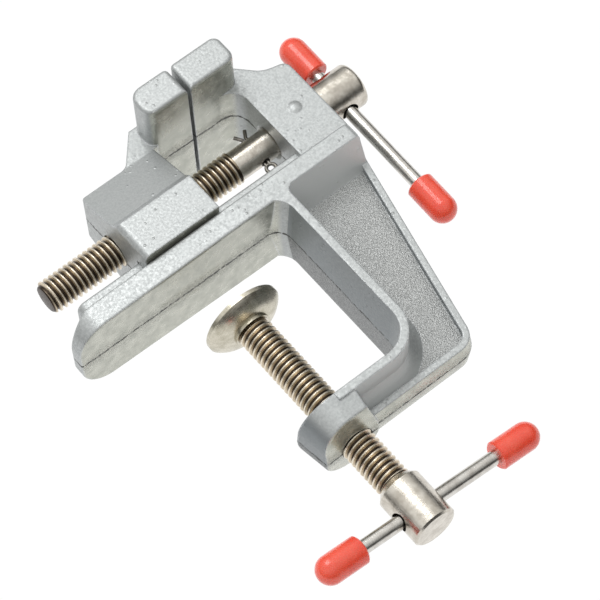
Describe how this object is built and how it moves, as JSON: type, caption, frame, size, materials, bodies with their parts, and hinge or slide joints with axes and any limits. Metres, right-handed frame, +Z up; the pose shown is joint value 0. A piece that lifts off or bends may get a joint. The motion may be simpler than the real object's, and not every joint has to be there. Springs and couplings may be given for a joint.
{
  "type": "bench vise",
  "caption": "Small clamp-on bench vise: die-cast C-shaped frame with fixed jaw, sliding jaw on a threaded screw, table clamp screw with swivel foot, and sliding tommy bars.",
  "frame": {"origin": "where the axis of the clamp screw meets the flat face that rests on the table top, at the middle of the vise's width", "axes": "+Z up as the vise is used, +X along the main screw towards its handle, +Y across the jaws"},
  "size_m": [0.0681, 0.03, 0.0863],
  "materials": {
    "casting": "tumbled die casting, fine sparkle",
    "screw_steel": "rolled thread, dull nickel plate",
    "pin_steel": "drawn wire, zinc plate",
    "bar_steel": "polished nickel plate",
    "foot_steel": "polished nickel plate",
    "cap_plastic": "glossy soft vinyl"
  },
  "bodies": {
    "vise_frame": {"body_frame": "casting"},
    "sliding_jaw": {"moving_jaw": "casting"},
    "main_spindle": {"main_screw": "screw_steel", "split_pin": "pin_steel"},
    "main_handle": {"main_handle_bar": "bar_steel", "main_cap_upper": "cap_plastic", "main_cap_lower": "cap_plastic"},
    "swivel_foot": {"clamp_foot": "foot_steel"},
    "clamp_spindle": {"clamp_screw": "screw_steel"},
    "clamp_handle": {"clamp_handle_bar": "bar_steel", "clamp_cap_left": "cap_plastic", "clamp_cap_right": "cap_plastic"}
  },
  "joints": [
    {"name": "main_screw_turn", "type": "hinge", "parent": "vise_frame", "child": "main_spindle", "pos_m": [0.03, 0, 0.0138], "axis": [1, 0, 0], "range_deg": [-216, 7200]},
    {"name": "moving_jaw_slide", "type": "slide", "parent": "vise_frame", "child": "sliding_jaw", "axis": [-1, 0, 0], "range_m": [-0.00061, 0.0201]},
    {"name": "main_handle_slide", "type": "slide", "parent": "main_spindle", "child": "main_handle", "axis": [0, -0.0436, 0.999], "range_m": [-0.0011, 0.0175]},
    {"name": "clamp_foot_slide", "type": "slide", "parent": "vise_frame", "child": "swivel_foot", "axis": [0, 0, 1], "range_m": [-0.019, 0.0089]},
    {"name": "clamp_screw_turn", "type": "hinge", "parent": "swivel_foot", "child": "clamp_spindle", "pos_m": [0, 0, -0.03], "axis": [0, 0, 1], "range_deg": [-6820, 3200]},
    {"name": "clamp_handle_slide", "type": "slide", "parent": "clamp_spindle", "child": "clamp_handle", "axis": [0.9903, 0.1392, 0], "range_m": [-0.0119, 0.0075]}
  ],
  "couplings": [
    {"joint": "moving_jaw_slide", "follows": "main_screw_turn", "m_per_rad": 0.00015915},
    {"joint": "clamp_foot_slide", "follows": "clamp_screw_turn", "m_per_rad": 0.00015915}
  ]
}
